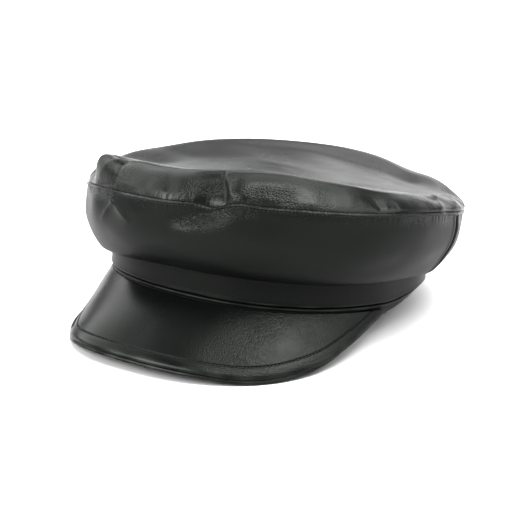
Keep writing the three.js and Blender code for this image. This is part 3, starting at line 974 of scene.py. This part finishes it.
def leather_material(name, tones, specular, roughness, dulled, grain_mm, grain_depth):
    """Black leather. Its grain and wear follow the attributes that each mesh carries."""
    dark, pale, worn_tone = ((*tone, 1) for tone in tones)
    material, tree, shader = new_material(name)
    place = node(tree, "TexCoord", {}, "Object")
    grain = node(tree, "Attribute", {}, "Fac", attribute_name="grain")
    wear = node(tree, "Attribute", {}, "Fac", attribute_name="wear")
    patches = node(tree, "TexNoise", {"Vector": place, "Scale": 24, "Detail": 3}, "Fac")

    # cells in slightly warped places, plus about half as much of the pores
    warp = node(tree, "TexNoise", {"Vector": place, "Scale": 260, "Detail": 2}, "Color")
    nudge = node(tree, "VectorMath", {0: warp, "Scale": grain_mm * warp_share}, operation="SCALE")
    warped = node(tree, "VectorMath", {0: place, 1: nudge}, operation="ADD")
    cell_inputs = {"Vector": warped, "Scale": 1000 / grain_mm, "Smoothness": 0.35}
    cells = node(tree, "TexVoronoi", cell_inputs, "Distance", feature="SMOOTH_F1")
    pores = node(tree, "TexNoise", {"Vector": place, "Scale": 2600, "Detail": 3, "Roughness": 0.6}, "Fac")
    height = node(tree, "Math", {0: pores, 1: pore_share, 2: cells}, operation="MULTIPLY_ADD")

    # the grain stands higher in some patches, and where the mesh says so
    patch_range = {"Value": patches, "From Min": 0.35, "From Max": 0.65, "To Min": 0.35, "To Max": 1}
    strength = node(tree, "Math", {0: node(tree, "MapRange", patch_range), 1: grain}, operation="MULTIPLY")
    bump_inputs = {"Strength": strength, "Distance": grain_depth / 1000, "Height": height}
    bump = node(tree, "Bump", bump_inputs, "Normal", invert=True)

    # paler in patches and where it is rubbed
    tone = node(tree, "Mix", {"Factor": patches, "A": dark, "B": pale}, "Result", data_type="RGBA")
    rubbed = node(tree, "Mix", {"Factor": wear, "A": tone, "B": worn_tone}, "Result", data_type="RGBA")

    # rubbed leather is smoother, and loose grain is duller or shinier by the amount given
    shine_range = {"Value": patches, "To Min": roughness - 0.05, "To Max": roughness + 0.07}
    shine = node(tree, "MapRange", shine_range)
    polished = node(tree, "Math", {0: wear, 1: worn_shine, 2: shine}, operation="MULTIPLY_ADD")
    loose = node(tree, "Math", {0: grain, 1: dulled, 2: polished}, operation="MULTIPLY_ADD")
    fill(shader, {"Normal": bump, "Base Color": rubbed, "Roughness": loose})
    fill(shader, {"Specular IOR Level": specular, "Specular Tint": (0.95, 1, 0.94, 1)})
    print(f"{name}: roughness {roughness}, grain cells of {grain_mm} mm")
    return material


# %% [markdown]
# ## Four finishes
#
# On the loose top panel the standing grain dulls the leather. On the side panels, pressed over the band, it
# catches the light. The band and strap are plated smooth, and the peak's leather is stretched over a board.
# One material with four sets of numbers keeps them alike in everything else.

# %% Make the four leathers
soft_tones = (0.0028, 0.0032, 0.003), (0.005, 0.0057, 0.0053), (0.018, 0.019, 0.018)
band_tones = (0.0024, 0.0027, 0.0025), (0.004, 0.0045, 0.0042), (0.016, 0.017, 0.016)
peak_tones = (0.0026, 0.003, 0.0028), (0.0042, 0.0048, 0.0045), (0.016, 0.017, 0.016)
finishes = [
    # name, tones, specular, roughness, dulled by grain, grain cell in mm, grain depth in mm
    ("soft_top_leather", soft_tones, 0.22, 0.24, 0.1, 1.05, 0.52),
    ("soft_side_leather", soft_tones, 0.19, 0.4, -0.18, 1.1, 0.7),
    ("smooth_band_leather", band_tones, 0.14, 0.36, 0, 0.9, 0.08),
    ("stretched_peak_leather", peak_tones, 0.165, 0.26, 0, 0.85, 0.22),
]
soft_leather, side_leather, band_leather, peak_leather = (leather_material(*finish) for finish in finishes)

# %% [markdown]
# ## Thread
#
# The thread is black too, but it is twisted and waxed, so it is a little paler and shines in fine slanting
# lines. A wave texture across the stitch stands for the twist.

# %% Make the thread
thread, tree, shader = new_material("waxed_black_thread")
place = node(tree, "TexCoord", {}, "Object")
twist = node(tree, "TexWave", {"Vector": place, "Scale": 900, "Distortion": 1}, "Fac")
bump = node(tree, "Bump", {"Strength": 0.5, "Distance": 0.00005, "Height": twist}, "Normal")
thread_tones = {"Factor": twist, "A": (0.006, 0.006, 0.006, 1), "B": (0.02, 0.02, 0.02, 1)}
tone = node(tree, "Mix", thread_tones, "Result", data_type="RGBA")
fill(shader, {"Normal": bump, "Base Color": tone, "Roughness": 0.45})

# %% [markdown]
# ## Hanging the pieces on the model
#
# Each piece rides on the CAD model's body, takes the place of its plain node, and gets the material of its
# finish. The welt and the stitches replace nothing.

# %% Attach the pieces
dressed = [
    (crown_top, soft_leather, "soft_leather", ["crown_top"]),
    (crown_side_front, side_leather, "soft_leather", ["crown_side_front"]),
    (crown_side_back, side_leather, "soft_leather", ["crown_side_back"]),
    (welt, side_leather, "soft_leather", []),
    (headband, band_leather, "band_leather", ["headband"]),
    (strap, band_leather, "band_leather", ["hat_band"]),
    (peak_top, peak_leather, "peak_leather", ["peak_top"]),
    (peak_under, peak_leather, "peak_leather", ["peak_under"]),
    (seam_stitches, thread, "soft_leather", []),
    (border_stitches, thread, "peak_leather", []),
]
for piece, material, slot, nodes in dressed:
    piece.data.materials.append(material)
    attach(piece, "root")
    if nodes:
        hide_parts(*nodes)
print(len(dressed), "pieces dress the cap")

# %% [markdown]
# ## Table and light
#
# The cap stands on a white table that fades into a white room. Leather this dark is drawn by what it
# mirrors, so the lights are large and placed for their reflections. Two above give the peak its broad shine,
# one in front picks out the grain by the dimple, two behind draw the crest and the bright band in the dish,
# and one on each side shapes the crown's ends.

# %% Lay the table
floor_mesh = bpy.data.meshes.new("table")
floor_mesh.from_pydata([(-6, -4, 0), (6, -4, 0), (6, 6, 0), (-6, 6, 0)], [], [(0, 1, 2, 3)])
table = add_object("table", floor_mesh)
white, _, shader = new_material("white_table")
fill(shader, {"Base Color": (0.58, 0.58, 0.58, 1), "Roughness": 0.9, "Specular IOR Level": 0.1})
floor_mesh.materials.append(white)


# %% Hang the lights
def soft_light(name, azimuth, elevation, distance, size, power):
    """Soft light turned towards the cap. Azimuth runs from straight behind towards plus X."""
    azimuth, elevation = math.radians(azimuth), math.radians(elevation)
    level = distance * math.cos(elevation)
    place = Vector((level * math.sin(azimuth), level * math.cos(azimuth), distance * math.sin(elevation)))
    light = bpy.data.lights.new(name, "AREA")
    light.shape = "RECTANGLE"
    light.size, light.size_y = size
    light.energy = power
    lamp = add_object(name, light)
    lamp.location = place
    lamp.rotation_euler = (LOOK_AT - place).to_track_quat("-Z", "Y").to_euler()


lights = [
    # name, azimuth, elevation, distance in metres, size in metres, power in watts
    ("overhead", 44, 75, 2.2, (2.8, 2.4), 88),
    ("left", -96, 35, 1.9, (2, 1.35), 34),
    ("right", 76, 39, 1.9, (2.3, 1.6), 42),
    ("peak", 103, 68, 2.2, (1.2, 1.0), 44),
    ("front", -160, 30, 2.2, (1.6, 1.1), 76),
    ("back", -12, 7, 3, (2, 0.7), 6.3),
    ("crest", -37, 34, 2.6, (2, 1.1), 15),
]
for light_row in lights:
    soft_light(*light_row)
print(len(lights), "lights")

# %% Make the room
world = bpy.data.worlds.new("white_room")
world.use_nodes = True
fill(world.node_tree.nodes["Background"], {"Color": (1, 1, 1, 1), "Strength": 0.55})
scene = bpy.context.scene
scene.world = world
scene.view_settings.view_transform = "Standard"
scene.view_settings.gamma = 0.8
